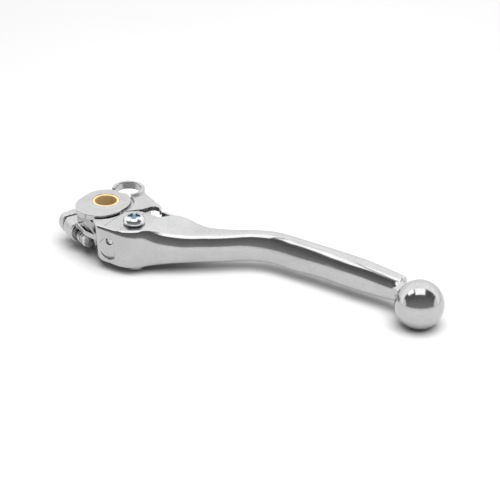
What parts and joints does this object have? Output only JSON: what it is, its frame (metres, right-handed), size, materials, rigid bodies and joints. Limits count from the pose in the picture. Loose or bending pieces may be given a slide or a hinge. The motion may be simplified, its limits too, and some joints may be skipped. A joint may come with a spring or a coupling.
{
  "type": "clutch lever",
  "caption": "Hinged motorcycle clutch lever: pivot bracket with bronze-bushed bore and cable eye, folding ball-ended blade, spring and reach adjuster.",
  "frame": {"origin": "on the perch bolt's axis, in the plane that the lever lies on", "axes": "+Z along the perch bolt towards the screw head's side, +X along the blade's outer run towards its ball, +Y away from the rider"},
  "size_m": [0.1509, 0.0381, 0.0208],
  "materials": {
    "satin_aluminium": "satin cast and machined",
    "polished_aluminium": "polished",
    "bronze": "machined bearing bronze",
    "zinc_plated_steel": "bright zinc plate",
    "steel": "bare spring and tool steel"
  },
  "bodies": {
    "bracket": {"pivot_bracket": "satin_aluminium", "pivot_bush": "bronze", "tongue_bush_upper": "bronze", "tongue_bush_lower": "bronze", "adjuster_pad": "steel", "return_spring": "steel"},
    "blade": {"lever_blade": "polished_aluminium", "spring_anchor_pin": "steel", "knuckle_sleeve_nut": "zinc_plated_steel", "knuckle_screw": "zinc_plated_steel", "adjuster_spring": "steel"},
    "adjuster_follower": {"adjuster_washer": "steel"},
    "adjuster": {"adjuster_screw": "steel"}
  },
  "joints": [
    {"name": "blade_fold", "type": "hinge", "parent": "bracket", "child": "blade", "pos_m": [0.0181, -0.0076, 0], "axis": [0, 0, 1], "range_deg": [0, 14], "stiffness_Nm_per_rad": 0.06, "springref_deg": -28.65, "deforming": ["return_spring"]},
    {"name": "adjuster_travel", "type": "slide", "parent": "blade", "child": "adjuster_follower", "axis": [0.8776, -0.4794, 0], "range_m": [0, 0.0025], "deforming": ["adjuster_spring"]},
    {"name": "adjuster_turn", "type": "hinge", "parent": "adjuster_follower", "child": "adjuster", "pos_m": [-0.01086, -0.00584, 0.0071], "axis": [0.8776, -0.4794, 0], "range_deg": [0, 1286.5]}
  ],
  "couplings": [
    {"joint": "adjuster_turn", "follows": "adjuster_travel", "rad_per_m": 8976}
  ]
}
